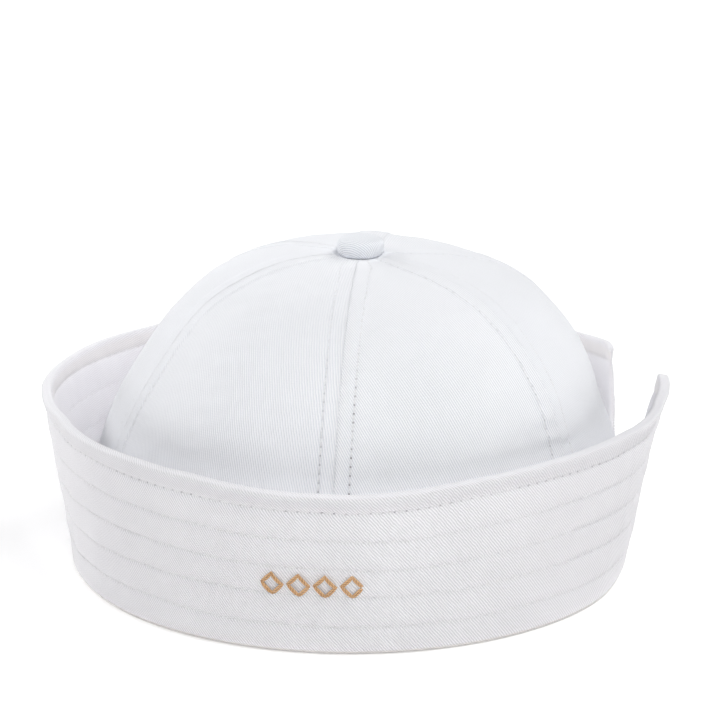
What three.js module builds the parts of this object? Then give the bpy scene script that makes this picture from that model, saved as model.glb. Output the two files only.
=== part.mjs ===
// Sailor cap: a domed crown of six sewn panels, a cloth-covered button on top and a
// stiff brim folded up all round, open at one slit.
// Millimetres, +Z up. The cap rests on the flat underside of the brim's turned-in foot.
// Azimuths are in degrees about the crown's base centre, 0 at +X, 90 at +Y, -90 at the front.
import * as THREE from 'three';

// ---------------------------------------------------------------- driving dimensions
const BASE_RADIUS = 100;         // outside of the brim at its fold
const BRIM_WIDTH = 60.2;         // from the fold to the rim, along the slope
const BRIM_WALL = 2.8;           // several plies of twill sewn together
const FOOT_INNER_RADIUS = 92.7;  // inner edge of the turned-in foot
const FOOT_THICKNESS = 2.7;
const CROWN_BASE_RADIUS = 94.5;  // outside of the crown at its base
const CROWN_BASE_Z = 3.0;        // the crown stands just above the foot
const CROWN_TOP_Z = 110.5;
const CROWN_LEAN_X = 3.0;        // how far the crown's top sits to the +X side
const CROWN_WALL = 1.6;          // two plies of twill
const SEAM_GAP = 0.3;            // between neighbouring panels
const SEAM_RIDGE = 1.0;          // how far a seam stands proud of the panels beside it
const TIP_RADIUS = 2.6;          // the panels stop short of the centre, under the button
const BUTTON_RADIUS = 8.2;
const BUTTON_HEIGHT = 6.1;
const BUTTON_GAP = 0.6;          // clears the panels where they swell beside the button

// ---------------------------------------------------------------- mesh fineness
const PANEL_COLUMNS = 10;
const PANEL_ROWS = 15;
const BRIM_COLUMNS = 90;
const SLIT_COLUMNS = 3;
const BUTTON_SIDES = 32;

// ---------------------------------------------------------------- tables
// The crown's six seams, by azimuth, going round from the left.
const SEAMS = [
  { name: 'left', azimuth: -158.5 },
  { name: 'front', azimuth: -95.5 },
  { name: 'right', azimuth: -37.5 },
  { name: 'slit side', azimuth: 22 },
  { name: 'back', azimuth: 82 },
  { name: 'back left', azimuth: 141.5 },
];

// The dome's outline: distance from the centre of its base at each elevation, on the
// +X side, which is fuller, and on the -X side, which falls away straighter.
const DOME = [
  { elevation: 0, right: 94.5, left: 94.5 },
  { elevation: 15, right: 99.4, left: 96.5 },
  { elevation: 30, right: 101.3, left: 100.4 },
  { elevation: 45, right: 109.2, left: 104.3 },
  { elevation: 60, right: 111.9, left: 111.4 },
  { elevation: 75, right: 109.2, left: 111.1 },
  { elevation: 90, right: 107.5, left: 107.5 },
];

// The brim, from its free end behind the slit round to its free end before it: how far
// its fold sits out from the base circle, its outward lean in degrees and, near the free
// end, how much further the rim flares out. Lengths in mm.
const BRIM = [
  { azimuth: 16, fold: 0.0, lean: 18.0, flare: 0.0 },
  { azimuth: 34, fold: 0.0, lean: 18.0, flare: 0.0 },
  { azimuth: 41, fold: 0.0, lean: 16.4, flare: 0.0 },
  { azimuth: 50, fold: 0.0, lean: 15.0, flare: 0.0 },
  { azimuth: 65, fold: 0.0, lean: 14.4, flare: 0.0 },
  { azimuth: 100, fold: 0.0, lean: 14.4, flare: 0.0 },
  { azimuth: 120, fold: 0.0, lean: 15.0, flare: 0.0 },
  { azimuth: 136, fold: 0.0, lean: 16.3, flare: 0.0 },
  { azimuth: 149, fold: 0.0, lean: 15.1, flare: 0.0 },
  { azimuth: 157, fold: 0.0, lean: 13.9, flare: 0.0 },
  { azimuth: 165, fold: 0.0, lean: 12.8, flare: 0.0 },
  { azimuth: 174, fold: 0.0, lean: 10.8, flare: 0.0 },
  { azimuth: 183, fold: 0.0, lean: 8.6, flare: 0.0 },
  { azimuth: 195, fold: 0.0, lean: 6.2, flare: 0.0 },
  { azimuth: 211, fold: 0.0, lean: 5.3, flare: 0.0 },
  { azimuth: 229, fold: 0.0, lean: 4.3, flare: 0.0 },
  { azimuth: 240, fold: 0.0, lean: 5.2, flare: 0.0 },
  { azimuth: 250, fold: 0.0, lean: 7.2, flare: 0.0 },
  { azimuth: 261, fold: 0.0, lean: 9.2, flare: 0.0 },
  { azimuth: 269, fold: 0.0, lean: 9.4, flare: 0.0 },
  { azimuth: 277, fold: 0.0, lean: 8.5, flare: 0.0 },
  { azimuth: 288, fold: 0.0, lean: 5.9, flare: 0.0 },
  { azimuth: 301, fold: 0.0, lean: 2.9, flare: 0.0 },
  { azimuth: 309, fold: 0.0, lean: 2.5, flare: 0.0 },
  { azimuth: 325, fold: 0.0, lean: 3.5, flare: 0.0 },
  { azimuth: 336, fold: -0.6, lean: 6.2, flare: 0.0 },
  { azimuth: 343, fold: -1.5, lean: 9.4, flare: 0.6 },
  { azimuth: 354, fold: -1.5, lean: 9.6, flare: 1.2 },
  { azimuth: 362, fold: -1.5, lean: 10.6, flare: 2.0 },
  { azimuth: 369, fold: -1.5, lean: 12.6, flare: 2.8 },
  { azimuth: 376, fold: -1.5, lean: 15.4, flare: 3.0 },
];

// The slit's two sides, each a sloping line from the fold to the rim.
const SLIT = {
  behind: { azimuthAtFold: 19.0, azimuthAtRim: 34.2 },
  before: { azimuthAtFold: 370.0, azimuthAtRim: 373.6 },
};
const SLIT_CORNER = 1.3;         // how far the rim drops at each rounded corner

// Heights up the brim's slope at which its two faces have points.
const BRIM_STEPS = [6, 14, 23, 33, 43, 52, 58.4];

// ---------------------------------------------------------------- small helpers
const rad = (deg) => (deg * Math.PI) / 180;

// A smooth curve through a table's rows. slopes: [first, last], left out where free.
function through(rows, key, value, x, slopes = []) {
  const n = rows.length;
  const tangent = (i) => {
    if (i === 0) return slopes[0] ?? (rows[1][value] - rows[0][value]) / (rows[1][key] - rows[0][key]);
    if (i === n - 1) return slopes[1] ?? (rows[i][value] - rows[i - 1][value]) / (rows[i][key] - rows[i - 1][key]);
    return (rows[i + 1][value] - rows[i - 1][value]) / (rows[i + 1][key] - rows[i - 1][key]);
  };
  let i = 0;
  while (i < n - 2 && x > rows[i + 1][key]) i += 1;
  const h = rows[i + 1][key] - rows[i][key];
  const t = Math.min(1, Math.max(0, (x - rows[i][key]) / h));
  const t2 = t * t, t3 = t2 * t;
  return rows[i][value] * (2 * t3 - 3 * t2 + 1) + tangent(i) * h * (t3 - 2 * t2 + t)
    + rows[i + 1][value] * (3 * t2 - 2 * t3) + tangent(i + 1) * h * (t3 - t2);
}

// Gathers points and faces into one closed geometry.
class Shell {
  constructor() { this.points = []; this.faces = []; }
  point(p) { this.points.push(p.x, p.y, p.z); return this.points.length / 3 - 1; }
  triangle(a, b, c) { this.faces.push(a, b, c); }
  quad(a, b, c, d) { this.triangle(a, b, c); this.triangle(a, c, d); }
  geometry() {
    const g = new THREE.BufferGeometry();
    g.setAttribute('position', new THREE.Float32BufferAttribute(this.points, 3));
    g.setIndex(this.faces);
    g.computeVertexNormals();
    return g;
  }
}

// ---------------------------------------------------------------- crown
// A point on the dome's outer face. across runs 0 to 1 from one seam to the next.
function domePoint(azimuth, elevation, across) {
  const side = (1 + Math.cos(rad(azimuth))) / 2;
  const right = through(DOME, 'elevation', 'right', elevation, [undefined, 0]);
  const left = through(DOME, 'elevation', 'left', elevation, [undefined, 0]);
  const rho = side * right + (1 - side) * left;
  const ridge = SEAM_RIDGE * Math.pow(1 - Math.sin(Math.PI * across), 2) * Math.cos(rad(elevation));
  const r = rho * Math.cos(rad(elevation)) + ridge;
  const z = CROWN_BASE_Z + rho * Math.sin(rad(elevation));
  const lean = CROWN_LEAN_X * (z - CROWN_BASE_Z) / (CROWN_TOP_Z - CROWN_BASE_Z);
  return new THREE.Vector3(r * Math.cos(rad(azimuth)) + lean, r * Math.sin(rad(azimuth)), z);
}

function crownPanel(from, to) {
  const shell = new Shell();
  const span = to - from;
  const tipElevation = 90 - (TIP_RADIUS / DOME[DOME.length - 1].right) * (180 / Math.PI);
  const at = (u, elevation) => {
    // keep half the seam's gap clear at each side, whatever the radius there
    const radius = CROWN_BASE_RADIUS * Math.cos(rad(elevation));
    const trim = Math.asin(Math.min(0.9, SEAM_GAP / 2 / radius)) * (180 / Math.PI) / span;
    const across = trim + (1 - 2 * trim) * u;
    return domePoint(from + span * across, elevation, across);
  };
  const normal = (u, elevation) => {
    const e = 0.02;
    const du = at(Math.min(1, u + e), elevation).sub(at(Math.max(0, u - e), elevation));
    const dv = at(u, Math.min(90, elevation + 0.4)).sub(at(u, Math.max(0, elevation - 0.4)));
    return du.cross(dv).normalize();
  };
  const outer = [], inner = [];
  for (let j = 0; j <= PANEL_ROWS; j += 1) {
    const elevation = (tipElevation * j) / PANEL_ROWS;
    const outerRow = [], innerRow = [];
    for (let i = 0; i <= PANEL_COLUMNS; i += 1) {
      const u = i / PANEL_COLUMNS;
      const p = at(u, elevation);
      const n = normal(u, elevation);
      if (j === 0) n.z = 0;
      // the panel's side faces stay in the seam's radial plane
      if (i === 0 || i === PANEL_COLUMNS) {
        const azimuth = rad(i === 0 ? from : to);
        const sideways = new THREE.Vector3(-Math.sin(azimuth), Math.cos(azimuth), 0);
        n.addScaledVector(sideways, -n.dot(sideways));
      }
      n.normalize();
      outerRow.push(shell.point(p));
      innerRow.push(shell.point(p.clone().addScaledVector(n, -CROWN_WALL)));
    }
    outer.push(outerRow); inner.push(innerRow);
  }
  for (let j = 0; j < PANEL_ROWS; j += 1) {
    for (let i = 0; i < PANEL_COLUMNS; i += 1) {
      shell.quad(outer[j][i], outer[j][i + 1], outer[j + 1][i + 1], outer[j + 1][i]);
      shell.quad(inner[j][i], inner[j + 1][i], inner[j + 1][i + 1], inner[j][i + 1]);
    }
    shell.quad(outer[j][0], outer[j + 1][0], inner[j + 1][0], inner[j][0]);
    const e = PANEL_COLUMNS;
    shell.quad(outer[j][e], inner[j][e], inner[j + 1][e], outer[j + 1][e]);
  }
  for (let i = 0; i < PANEL_COLUMNS; i += 1) {
    shell.quad(outer[0][i], inner[0][i], inner[0][i + 1], outer[0][i + 1]);
    const t = PANEL_ROWS;
    shell.quad(outer[t][i], outer[t][i + 1], inner[t][i + 1], inner[t][i]);
  }
  return shell.geometry();
}

// ---------------------------------------------------------------- button
// A squat drum with a rounded edge and a low dome on top.
const BUTTON_PROFILE = [
  { r: 0, z: 0 },
  { r: BUTTON_RADIUS - 1.2, z: 0 },
  { r: BUTTON_RADIUS - 0.45, z: 0.4 },
  { r: BUTTON_RADIUS - 0.1, z: 1.2 },
  { r: BUTTON_RADIUS, z: 2.3 },
  { r: BUTTON_RADIUS - 0.1, z: 3.5 },
  { r: BUTTON_RADIUS - 0.5, z: 4.5 },
  { r: BUTTON_RADIUS - 1.3, z: 5.2 },
  { r: BUTTON_RADIUS - 2.6, z: 5.65 },
  { r: BUTTON_RADIUS - 4.6, z: 5.95 },
  { r: BUTTON_RADIUS - 6.6, z: 6.07 },
  { r: 0, z: BUTTON_HEIGHT },
];

function buttonGeometry() {
  const profile = BUTTON_PROFILE.map((p) => new THREE.Vector2(p.r, p.z));
  const g = new THREE.LatheGeometry(profile, BUTTON_SIDES);
  g.rotateX(Math.PI / 2);
  return g;
}

// ---------------------------------------------------------------- brim
// The azimuth at share 0 to 1 of the way round, at a height s up the slope.
function brimAzimuth(share, s) {
  const k = s / BRIM_WIDTH;
  const first = SLIT.behind.azimuthAtFold + (SLIT.behind.azimuthAtRim - SLIT.behind.azimuthAtFold) * k;
  const last = SLIT.before.azimuthAtFold + (SLIT.before.azimuthAtRim - SLIT.before.azimuthAtFold) * k;
  return first + (last - first) * share;
}

// A point s up the slope and depth in from the outer face.
function brimPoint(azimuth, s, depth) {
  const lean = rad(through(BRIM, 'azimuth', 'lean', azimuth));
  const flare = through(BRIM, 'azimuth', 'flare', azimuth) * Math.pow(Math.max(0, s) / BRIM_WIDTH, 3);
  const fold = through(BRIM, 'azimuth', 'fold', azimuth);
  const r = BASE_RADIUS + fold + s * Math.sin(lean) - depth * Math.cos(lean) + flare;
  const z = s * Math.cos(lean) + depth * Math.sin(lean);
  return new THREE.Vector3(r * Math.cos(rad(azimuth)), r * Math.sin(rad(azimuth)), z);
}

// The flat-footed fold at the brim's base. follows says how much of the fold's offset
// from the base circle each of its corners takes.
const FOOT = [
  { r: BASE_RADIUS - 3.3, z: FOOT_THICKNESS + 0.6, follows: 0.5 },
  { r: BASE_RADIUS - 4.1, z: FOOT_THICKNESS, follows: 0.5 },
  { r: FOOT_INNER_RADIUS + 0.5, z: FOOT_THICKNESS, follows: 0 },
  { r: FOOT_INNER_RADIUS, z: FOOT_THICKNESS / 2, follows: 0 },
  { r: FOOT_INNER_RADIUS + 0.5, z: 0, follows: 0 },
  { r: BASE_RADIUS - 2.4, z: 0, follows: 1 },
  { r: BASE_RADIUS - 0.8, z: 0.7, follows: 1 },
  { r: BASE_RADIUS, z: FOOT_THICKNESS, follows: 1 },
];

function footPoints(shell, azimuth, fold) {
  return FOOT.map((corner) => {
    const r = corner.r + corner.follows * fold;
    return shell.point(new THREE.Vector3(r * Math.cos(rad(azimuth)), r * Math.sin(rad(azimuth)), corner.z));
  });
}

function brimGeometry() {
  const shell = new Shell();
  const columns = [];
  for (let j = 0; j < BRIM_COLUMNS; j += 1) {
    const share = j / (BRIM_COLUMNS - 1);
    const end = j === 0 || j === BRIM_COLUMNS - 1;
    const top = BRIM_WIDTH - (end ? SLIT_CORNER : 0);
    const place = (s, depth) => shell.point(brimPoint(brimAzimuth(share, s), s, depth));
    const azimuth0 = brimAzimuth(share, 0);
    const foot = footPoints(shell, azimuth0, through(BRIM, 'azimuth', 'fold', azimuth0));
    const outer = BRIM_STEPS.map((s) => place(Math.min(s, top - 1.2), 0));
    const inner = BRIM_STEPS.map((s) => place(Math.min(s, top - 1.2), BRIM_WALL));
    const rim = [0.5, 0.5 + (BRIM_WALL - 1) / 2, BRIM_WALL - 0.5].map((depth, i) => place(top - (i === 1 ? 0 : 0.35), depth));
    columns.push({ foot, outer, inner, rim });
  }
  const slit = [];
  const from = SLIT.before.azimuthAtFold, to = SLIT.behind.azimuthAtFold + 360;
  const foldFrom = through(BRIM, 'azimuth', 'fold', from), foldTo = through(BRIM, 'azimuth', 'fold', to - 360);
  for (let j = 1; j < SLIT_COLUMNS; j += 1) {
    const k = j / SLIT_COLUMNS;
    slit.push({ foot: footPoints(shell, from + (to - from) * k, foldFrom + (foldTo - foldFrom) * k) });
  }
  // one strip of faces between two chains of points of the same length
  const strip = (a, b) => {
    for (let i = 0; i < a.length - 1; i += 1) shell.quad(a[i], b[i], b[i + 1], a[i + 1]);
  };
  const last = FOOT.length - 1;
  const ring = [...columns, ...slit];
  ring.forEach((column, j) => strip(column.foot, ring[(j + 1) % ring.length].foot));
  // the standing wall: up the outer face, over the rim and down the inner face
  const wall = (c) => [c.foot[last], ...c.outer, ...c.rim, ...[...c.inner].reverse(), c.foot[0]];
  for (let j = 0; j < columns.length - 1; j += 1) strip(wall(columns[j]), wall(columns[j + 1]));
  // the top of the foot where the slit leaves it bare
  const bare = [columns[columns.length - 1], ...slit, columns[0]];
  for (let j = 0; j < bare.length - 1; j += 1) {
    shell.quad(bare[j].foot[last], bare[j + 1].foot[last], bare[j + 1].foot[0], bare[j].foot[0]);
  }
  // the wall's two free ends
  const close = (c, flip) => {
    const face = (a, b, d) => (flip ? shell.triangle(a, d, b) : shell.triangle(a, b, d));
    const out = [c.foot[last], ...c.outer], inn = [c.foot[0], ...c.inner];
    for (let i = 0; i < out.length - 1; i += 1) {
      face(out[i], out[i + 1], inn[i + 1]);
      face(out[i], inn[i + 1], inn[i]);
    }
    const t = out.length - 1;
    face(out[t], c.rim[0], c.rim[1]);
    face(out[t], c.rim[1], inn[t]);
    face(inn[t], c.rim[1], c.rim[2]);
  };
  close(columns[0], false);
  close(columns[columns.length - 1], true);
  return shell.geometry();
}

// ---------------------------------------------------------------- assembly
const twill = () => new THREE.MeshStandardMaterial({ color: 0xe6e6ea, roughness: 0.92, metalness: 0 });
const brimTwill = () => new THREE.MeshStandardMaterial({ color: 0xe0dedf, roughness: 0.92, metalness: 0 });

const cap = new THREE.Group();
const add = (name, geometry, material) => {
  const mesh = new THREE.Mesh(geometry, material);
  mesh.name = name;
  cap.add(mesh);
  return mesh;
};

SEAMS.forEach(({ azimuth }, i) => {
  const next = i + 1 < SEAMS.length ? SEAMS[i + 1].azimuth : SEAMS[0].azimuth + 360;
  add(`crown_panel_${i + 1}`, crownPanel(azimuth, next), twill());
});

const button = add('top_button', buttonGeometry(), twill());
button.position.set(CROWN_LEAN_X, 0, CROWN_TOP_Z + BUTTON_GAP);

add('brim', brimGeometry(), brimTwill());

// The origin is below the middle of the whole cap, on the surface that it rests on.
cap.updateMatrixWorld(true);
const bounds = new THREE.Box3().setFromObject(cap, true);
const middle = bounds.getCenter(new THREE.Vector3());
cap.position.set(-middle.x, -middle.y, -bounds.min.z);
cap.updateMatrixWorld(true);

export default cap;
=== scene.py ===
import math

import bpy
import numpy as np
from mathutils import Matrix, Vector


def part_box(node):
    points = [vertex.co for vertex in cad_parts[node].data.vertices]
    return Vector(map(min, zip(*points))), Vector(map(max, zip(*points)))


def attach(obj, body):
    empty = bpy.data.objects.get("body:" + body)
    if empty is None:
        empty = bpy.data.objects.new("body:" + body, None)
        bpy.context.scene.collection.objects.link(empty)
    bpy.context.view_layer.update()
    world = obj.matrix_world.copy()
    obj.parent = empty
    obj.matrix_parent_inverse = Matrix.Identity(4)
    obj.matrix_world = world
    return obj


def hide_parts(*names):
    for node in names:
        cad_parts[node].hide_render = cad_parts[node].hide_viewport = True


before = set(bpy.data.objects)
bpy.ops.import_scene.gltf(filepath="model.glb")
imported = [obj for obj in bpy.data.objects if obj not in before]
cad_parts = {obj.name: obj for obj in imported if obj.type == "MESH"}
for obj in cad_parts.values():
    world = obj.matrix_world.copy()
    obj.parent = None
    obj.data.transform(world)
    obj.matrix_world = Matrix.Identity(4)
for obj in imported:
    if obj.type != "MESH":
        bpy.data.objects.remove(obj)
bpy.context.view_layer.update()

MM = 0.001

# The crown's base centre in the row frame: the button sits CROWN_LEAN to its +X side.
CROWN_LEAN = 3.0
_lo, _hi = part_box("top_button")
CENTRE = np.array([(_lo.x + _hi.x) / 2 - CROWN_LEAN * MM, (_lo.y + _hi.y) / 2, 0.0])

# ------------------------------------------------------------------ sizes, mm, about the base centre
BASE_RADIUS, BRIM_WIDTH, BRIM_WALL = 100.0, 60.2, 2.8
CROWN_BASE_Z, CROWN_TOP_Z, CROWN_WALL = 3.0, 110.5, 1.6
BUTTON_RADIUS, BUTTON_HEIGHT = 8.2, 6.65

SEAMS = [-158.5, -95.0, -37.5, 22.0, 82.0, 141.5]
ROW_WORK = [0.04, 0.85, 0.30, 0.15, 0.10, 0.03]   # how open the needle holes are beside each seam, and so how much painted shade goes in them
SEAM_SHARP = [0.22, 1.0, 0.7, 0.6, 0.6, 0.3]       # how crisply each seam is pressed
SEAM_GATHER = [0.06, 0.12, 0.17, 0.13, 0.12, 0.05]  # how far the cloth puckers beside it, mm
BRIM_WORK = [0.15, 0.15, 0.15, 0.18, 0.62]        # and in each row of the brim, from the fold up
CROWN_PITCH = 3.0          # stitch lengths
BRIM_PITCH = 4.0
BRIM_ARC = 640.0           # the brim's length at mid height
BRIM_ROWS = [10.6, 22.2, 32.5, 43.3, 53.8]   # heights of the rows up the brim's slope

DOME = np.array([  # elevation, right, left
    [0, 94.5, 94.5], [15, 99.4, 96.5], [30, 101.3, 100.4], [45, 109.2, 104.3],
    [60, 111.9, 111.4], [75, 109.2, 111.1], [90, 107.5, 107.5]], float)
BRIM = np.array([  # azimuth, fold, lean, flare
    [16, 0, 18, 0], [34, 0, 18, 0], [41, 0, 16.4, 0], [50, 0, 15, 0], [65, 0, 14.4, 0],
    [100, 0, 14.4, 0], [120, 0, 15, 0], [136, 0, 16.3, 0], [149, 0, 15.1, 0], [157, 0, 13.9, 0],
    [165, 0, 12.8, 0], [174, 0, 10.8, 0], [183, 0, 8.6, 0], [195, 0, 6.2, 0], [211, 0, 5.3, 0],
    [229, 0, 4.3, 0], [240, 0, 5.2, 0], [250, 0, 7.2, 0], [261, 0, 9.2, 0], [269, 0, 9.4, 0],
    [277, 0, 8.5, 0], [288, 0, 5.9, 0], [301, 0, 2.9, 0], [309, 0, 2.5, 0], [325, 0, 3.5, 0],
    [336, -0.7, 6.3, 0], [343, -1.8, 10.0, 0.6], [354, -2.0, 11.0, 1.2], [362, -2.1, 12.2, 2.0],
    [369, -2.1, 14.2, 2.8], [376, -2.1, 16.8, 3.0]], float)
SLIT_BEHIND = (19.0, 34.2)   # azimuth at the fold and at the rim
SLIT_BEFORE = (370.0, 373.6)


# ------------------------------------------------------------------ smooth tables
def hermite(k, v, x, last=None):
    n = len(k)
    t = np.empty(n)
    t[1:-1] = (v[2:] - v[:-2]) / (k[2:] - k[:-2])
    t[0] = (v[1] - v[0]) / (k[1] - k[0])
    t[-1] = (v[-1] - v[-2]) / (k[-1] - k[-2]) if last is None else last
    i = np.clip(np.searchsorted(k, x, side="left") - 1, 0, n - 2)
    h = k[i + 1] - k[i]
    s = np.clip((x - k[i]) / h, 0, 1)
    y = (v[i] * (2 * s**3 - 3 * s**2 + 1) + t[i] * h * (s**3 - 2 * s**2 + s)
         + v[i + 1] * (3 * s**2 - 2 * s**3) + t[i + 1] * h * (s**3 - s**2))
    y = np.where(x < k[0], v[0] + t[0] * (x - k[0]), y)
    return np.where(x > k[-1], v[-1] + t[-1] * (x - k[-1]), y)


def smoothed(table, column, sigma, mirror=False):
    k, v = table[:, 0], table[:, column]
    step = 0.25
    x = np.arange(k[0] - 6 * sigma, k[-1] + 6 * sigma, step)
    xx = np.where(x > k[-1], 2 * k[-1] - x, x) if mirror else x
    y = hermite(k, v, xx, 0.0 if mirror else None)
    w = np.exp(-0.5 * (np.arange(-4 * sigma, 4 * sigma + step, step) / sigma) ** 2)
    y = np.convolve(np.pad(y, len(w) // 2, mode="edge"), w / w.sum(), mode="valid")[: len(x)]
    return lambda q: np.interp(q, x, y)


dome_right = smoothed(DOME, 1, 3.0, mirror=True)
dome_left = smoothed(DOME, 2, 3.0, mirror=True)
brim_fold = smoothed(BRIM, 1, 3.5)
brim_lean = smoothed(BRIM, 2, 3.5)
brim_flare = smoothed(BRIM, 3, 3.5)


def waves(p, length, seed, count=14):
    """Smooth noise of about that wavelength, mean 0, spread about 1, at points p (..., 3)."""
    rng = np.random.default_rng(seed)
    out = np.zeros(p.shape[:-1])
    for _ in range(count):
        d = rng.normal(size=3)
        d /= np.linalg.norm(d)
        k = 2 * math.pi / (length * rng.uniform(0.7, 1.5))
        out += np.sin(p @ d * k + rng.uniform(0, 2 * math.pi))
    return out / math.sqrt(count / 2)


def line_noise(x, length, seed, count=10):
    return waves(np.stack([x, np.zeros_like(x), np.zeros_like(x)], -1) * 1.0, length, seed, count)


def step(x, a, b):
    t = np.clip((x - a) / (b - a), 0, 1)
    return t * t * (3 - 2 * t)


def bell(x, width):
    return np.exp(-((x / width) ** 2))


# ------------------------------------------------------------------ meshes
def link(ob):
    bpy.context.scene.collection.objects.link(ob)
    return ob


def mesh_object(name, verts_mm, faces, uvs=None, material=None, smooth=True):
    """verts in mm about the base centre; faces (n, 4) or (n, 3) arrays; uvs {name: per-vertex (n, 2)}."""
    faces = [np.asarray(f, np.int32) for f in (faces if isinstance(faces, list) else [faces])]
    co = np.asarray(verts_mm, float).reshape(-1, 3) * MM + CENTRE
    me = bpy.data.meshes.new(name)
    loops = np.concatenate([f.ravel() for f in faces])
    sizes = np.concatenate([np.full(len(f), f.shape[1], np.int32) for f in faces])
    starts = np.concatenate([[0], np.cumsum(sizes)[:-1]]).astype(np.int32)
    me.vertices.add(len(co))
    me.vertices.foreach_set("co", co.astype(np.float32).ravel())
    me.loops.add(len(loops))
    me.loops.foreach_set("vertex_index", loops)
    me.polygons.add(len(sizes))
    me.polygons.foreach_set("loop_start", starts)
    me.update(calc_edges=True)
    for uv_name, values in (uvs or {}).items():
        layer = me.uv_layers.new(name=uv_name)
        layer.data.foreach_set("uv", np.asarray(values, np.float32)[loops].ravel())
    me.polygons.foreach_set("use_smooth", np.full(len(sizes), smooth))
    if material:
        me.materials.append(material)
    me.validate()
    ob = bpy.data.objects.new(name, me)
    return link(ob)


def grid_faces(idx, flip=False, wrap=False):
    """Quads of a grid of vertex numbers idx (rows, columns)."""
    if wrap:
        idx = np.concatenate([idx, idx[:1]], 0)
    a, b, c, d = idx[:-1, :-1], idx[:-1, 1:], idx[1:, 1:], idx[1:, :-1]
    q = np.stack([a, b, c, d], -1).reshape(-1, 4)
    return q[:, ::-1] if flip else q


def grid_normals(p):
    du = np.gradient(p, axis=1)
    dv = np.gradient(p, axis=0)
    n = np.cross(du, dv)
    return n / np.maximum(np.linalg.norm(n, axis=-1, keepdims=True), 1e-9)


def tubes(name, paths, normals, radius, material, sides=6, pitch=None):
    """Many short threads as one mesh. paths (S, M, 3) mm, normals (S, M, 3), radius (M,) or (S, M) mm."""
    paths, normals = np.asarray(paths, float), np.asarray(normals, float)
    s_count, m = paths.shape[:2]
    radius = np.broadcast_to(np.asarray(radius, float), (s_count, m))
    tangent = np.gradient(paths, axis=1)
    tangent /= np.linalg.norm(tangent, axis=-1, keepdims=True)
    side = np.cross(tangent, normals)
    side /= np.linalg.norm(side, axis=-1, keepdims=True)
    up = np.cross(side, tangent)
    a = np.linspace(0, 2 * math.pi, sides, endpoint=False)
    ring = (paths[:, :, None] + radius[:, :, None, None]
            * (np.cos(a)[None, None, :, None] * side[:, :, None] + np.sin(a)[None, None, :, None] * up[:, :, None]))
    length = np.concatenate([np.zeros((s_count, 1)), np.cumsum(np.linalg.norm(np.diff(paths, axis=1), axis=-1), 1)], 1)
    verts = ring.reshape(s_count, -1, 3)
    tips = paths[:, [0, -1]] + np.stack([-tangent[:, 0] * radius[:, :1], tangent[:, -1] * radius[:, -1:]], 1) * 0.6
    verts = np.concatenate([verts, tips], 1)
    per = m * sides + 2
    base = np.arange(m * sides).reshape(m, sides)
    wrapc = np.concatenate([base, base[:, :1]], 1)
    quads = grid_faces(wrapc)
    first, last = m * sides, m * sides + 1
    caps = np.concatenate([
        np.stack([np.full(sides, first), wrapc[0, 1:], wrapc[0, :-1]], -1),
        np.stack([np.full(sides, last), wrapc[-1, :-1], wrapc[-1, 1:]], -1)])
    off = (np.arange(s_count) * per)[:, None, None]
    uv = np.zeros((s_count, per, 2))
    uv[:, : m * sides, 0] = np.repeat(length, sides, 1) * MM
    uv[:, : m * sides, 1] = np.tile(a / (2 * math.pi), m)[None] * 0.002
    uv[:, last, 0] = length[:, -1] * MM
    uv += (np.arange(s_count) * 0.0137 % 0.9)[:, None, None] * np.array([1.0, 0.0])
    ob = mesh_object(name, verts.reshape(-1, 3),
                     [(quads[None] + off).reshape(-1, 4), (caps[None] + off).reshape(-1, 3)],
                     {"cloth": uv.reshape(-1, 2)}, material)
    return ob


# ------------------------------------------------------------------ materials
class Nodes:
    def __init__(self, name):
        self.mat = bpy.data.materials.new(name)
        self.mat.use_nodes = True
        self.tree = self.mat.node_tree
        self.bsdf = self.tree.nodes["Principled BSDF"]

    def new(self, kind, **sets):
        n = self.tree.nodes.new(kind)
        for k, v in sets.items():
            setattr(n, k, v)
        return n

    def join(self, a, b):
        self.tree.links.new(a, b)

    def put(self, socket, value):
        if isinstance(value, bpy.types.NodeSocket):
            self.join(value, socket)
        else:
            socket.default_value = value

    def math(self, op, a, b=0.0, c=0.0, clamp=False):
        n = self.new("ShaderNodeMath", operation=op, use_clamp=clamp)
        self.put(n.inputs[0], a)
        self.put(n.inputs[1], b)
        self.put(n.inputs[2], c)
        return n.outputs[0]

    def uv(self, name):
        n = self.new("ShaderNodeUVMap", uv_map=name)
        s = self.new("ShaderNodeSeparateXYZ")
        self.join(n.outputs[0], s.inputs[0])
        return n.outputs[0], s.outputs[0], s.outputs[1]

    def noise(self, vector, scale, detail=2.0, rough=0.5):
        n = self.new("ShaderNodeTexNoise")
        self.join(vector, n.inputs["Vector"])
        n.inputs["Scale"].default_value = scale
        n.inputs["Detail"].default_value = detail
        n.inputs["Roughness"].default_value = rough
        return n.outputs[0]

    def mix(self, fac, a, b):
        n = self.new("ShaderNodeMix", data_type="RGBA")
        self.put(n.inputs[0], fac)
        self.put(n.inputs[6], a)
        self.put(n.inputs[7], b)
        return n.outputs[2]

    def range(self, value, a, b, c, d):
        n = self.new("ShaderNodeMapRange", interpolation_type="SMOOTHSTEP")
        self.put(n.inputs[0], value)
        for i, x in enumerate((a, b, c, d)):
            n.inputs[i + 1].default_value = x
        return n.outputs[0]


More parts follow.
